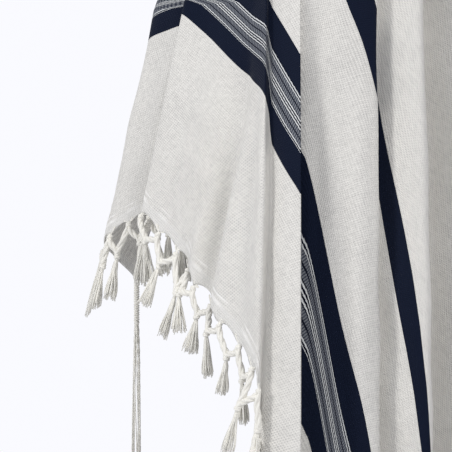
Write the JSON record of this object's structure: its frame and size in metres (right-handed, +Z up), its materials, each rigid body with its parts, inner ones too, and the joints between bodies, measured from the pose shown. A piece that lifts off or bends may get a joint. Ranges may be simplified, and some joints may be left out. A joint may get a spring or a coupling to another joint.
{
  "type": "prayer shawl",
  "caption": "Worn prayer shawl: a striped rectangular cloth draped round the shoulders, its left end thrown short over the arm, with knotted fringed ends and corner tassels",
  "frame": {"origin": "middle of the neck at shoulder height, where the shawl rests on its wearer", "axes": "+Z up, the wearer faces -Y, +X is the wearer's left"},
  "size_m": [0.6535, 0.4186, 1.3911],
  "materials": {
    "cloth": "matt off-white open-weave wool with woven navy stripes",
    "fringe": "cream wool cords, knotted in two rows",
    "tassel": "cream wool cord, wound and knotted"
  },
  "bodies": {
    "root": {"tallit_cloth": "cloth", "fringe_left": "fringe", "fringe_right": "fringe", "tzitzit_front_left": "tassel", "tzitzit_back_left": "tassel", "tzitzit_back_right": "tassel", "tzitzit_front_right": "tassel"}
  },
  "joints": []
}
